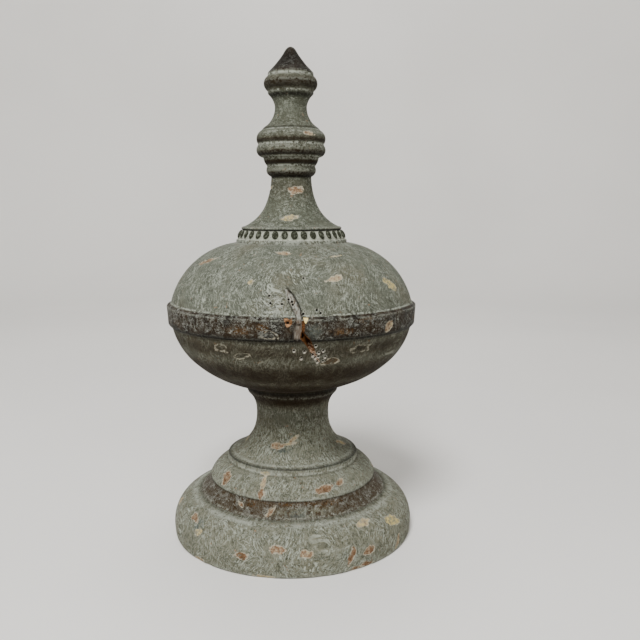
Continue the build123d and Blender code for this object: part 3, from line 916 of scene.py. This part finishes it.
def make_paint():
    """The whole finish, one layer over the other."""
    n = Nodes("distressed_paint")
    t = shared_textures(n)
    sage = sage_paint(n, t)
    stain, curls = stained_wood(n, t, sage)
    in_stain = n.ramp(n.plus(n.value("dark"), n.times(t.ragged, 0.4)), -0.2, 0.2)
    coat = n.mix(in_stain, add_glaze_and_painted_shade(n, t, sage), stain)
    coat = add_light_paint(n, t, coat)
    coat = add_bead_row(n, t, coat)
    coat = add_chalky_front(n, t, coat)
    coat, bared = add_flakes(n, t, coat)
    coat = add_channel(n, t, coat)
    coat = add_bared_wood(n, t, coat)
    coat = add_beetle_holes(n, t, coat)
    coat = add_underside(n, t, coat)
    rough = n.plus(0.72, n.times(n.plus(t.fine, -0.5), 0.3))
    rough = n.plus(rough, n.times(in_stain, -0.14))
    bump = paint_bump(n, t, bared, n.times(curls, in_stain))
    shader = n.add("ShaderNodeBsdfPrincipled",
                   {"Base Color": coat, "Roughness": rough, "Normal": bump,
                    "Specular IOR Level": 0.08})
    n.add("ShaderNodeOutputMaterial", {"Surface": shader.outputs[0]})
    return n.material


paint = make_paint()
for zone in ZONES:
    piece = build_zone(*zone)
    piece.data.materials.append(paint)
    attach(piece, "root")
    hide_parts("finial")


# ======================= floor, light and camera ============================
# in metres and watts
FLOOR_R, BEND_R, WALL_TOP = 1.7, 0.8, 2.6
BEND_STEPS, ROUND_STEPS = 14, 96
LAMPS = (            # name, place, target, width, power
    ("overhead", (-0.30, -1.05, 1.55), (0.0, 0.0, 0.2), 0.6, 42.0),
    ("back_wash", (0.0, 0.9, 2.1), (0.0, 2.3, 0.6), 1.4, 28.0),
    ("front_wash", (0.0, -1.1, 2.1), (0.0, -2.5, 0.6), 1.4, 11.0),
)
ROOM_LIGHT, ROOM_COLOUR = 0.1, (1.0, 0.98, 0.95, 1.0)
CAMERA_PLACE, CAMERA_TILT, CAMERA_PAN = (0.0, -0.6101, 0.2744), 81.389, -2.244
LENS, SENSOR = 40.5, 36.0      # millimetres


def make_floor():
    """A round pale floor that bends up into a wall, so that every view has a plain background."""
    n = Nodes("pale_floor")
    place = n.add("ShaderNodeTexCoord").outputs["Object"]
    tint = n.mix(n.ramp(n.noise(place, 0.8, 3.0), 0.3, 0.7), srgb(228, 226, 222), srgb(235, 233, 229))
    shader = n.add("ShaderNodeBsdfPrincipled", {"Base Color": tint, "Roughness": 0.8})
    n.add("ShaderNodeOutputMaterial", {"Surface": shader.outputs[0]})
    side = [(FLOOR_R, 0.0)]
    for k in range(1, BEND_STEPS + 1):
        a = radians(90 * k / BEND_STEPS)
        side.append((FLOOR_R + BEND_R * np.sin(a), BEND_R - BEND_R * np.cos(a)))
    side.append((FLOOR_R + BEND_R, WALL_TOP))
    verts = [(0.0, 0.0, 0.0)]
    for r, z in side:
        for k in range(ROUND_STEPS):
            a = radians(360 * k / ROUND_STEPS)
            verts.append((r * np.cos(a), r * np.sin(a), z))
    faces = []
    for k in range(ROUND_STEPS):
        after = (k + 1) % ROUND_STEPS
        faces.append((0, 1 + k, 1 + after))
        for row in range(len(side) - 1):
            low, high = 1 + row * ROUND_STEPS, 1 + (row + 1) * ROUND_STEPS
            faces.append((low + k, high + k, high + after, low + after))
    mesh = bpy.data.meshes.new("floor")
    mesh.from_pydata(verts, [], faces)
    mesh.polygons.foreach_set("use_smooth", np.ones(len(faces), bool))
    mesh.materials.append(n.material)
    floor = bpy.data.objects.new("floor", mesh)
    bpy.context.scene.collection.objects.link(floor)
    return floor


def area_light(name, place, target, size, power):
    """A round soft lamp facing its target."""
    data = bpy.data.lights.new(name, "AREA")
    data.shape = "DISK"
    data.size = size
    data.energy = power
    lamp = bpy.data.objects.new(name, data)
    lamp.location = place
    way = np.array(target) - np.array(place)
    lamp.rotation_euler = Vector(way.tolist()).to_track_quat("-Z", "Y").to_euler()
    bpy.context.scene.collection.objects.link(lamp)
    return lamp


def make_world():
    """Faint even light from all round."""
    world = bpy.data.worlds.new("studio")
    world.use_nodes = True
    background = world.node_tree.nodes["Background"]
    background.inputs["Color"].default_value = ROOM_COLOUR
    background.inputs["Strength"].default_value = ROOM_LIGHT
    return world


def make_camera():
    """The camera at the photograph's viewing angle."""
    camera = bpy.data.objects.new("camera", bpy.data.cameras.new("camera"))
    camera.data.lens = LENS
    camera.data.sensor_width = SENSOR
    camera.data.clip_start = 0.02
    camera.location = CAMERA_PLACE
    camera.rotation_euler = (radians(CAMERA_TILT), 0.0, radians(CAMERA_PAN))
    bpy.context.scene.collection.objects.link(camera)
    return camera


make_floor()
for lamp in LAMPS:
    area_light(*lamp)
bpy.context.scene.world = make_world()
bpy.context.scene.camera = make_camera()
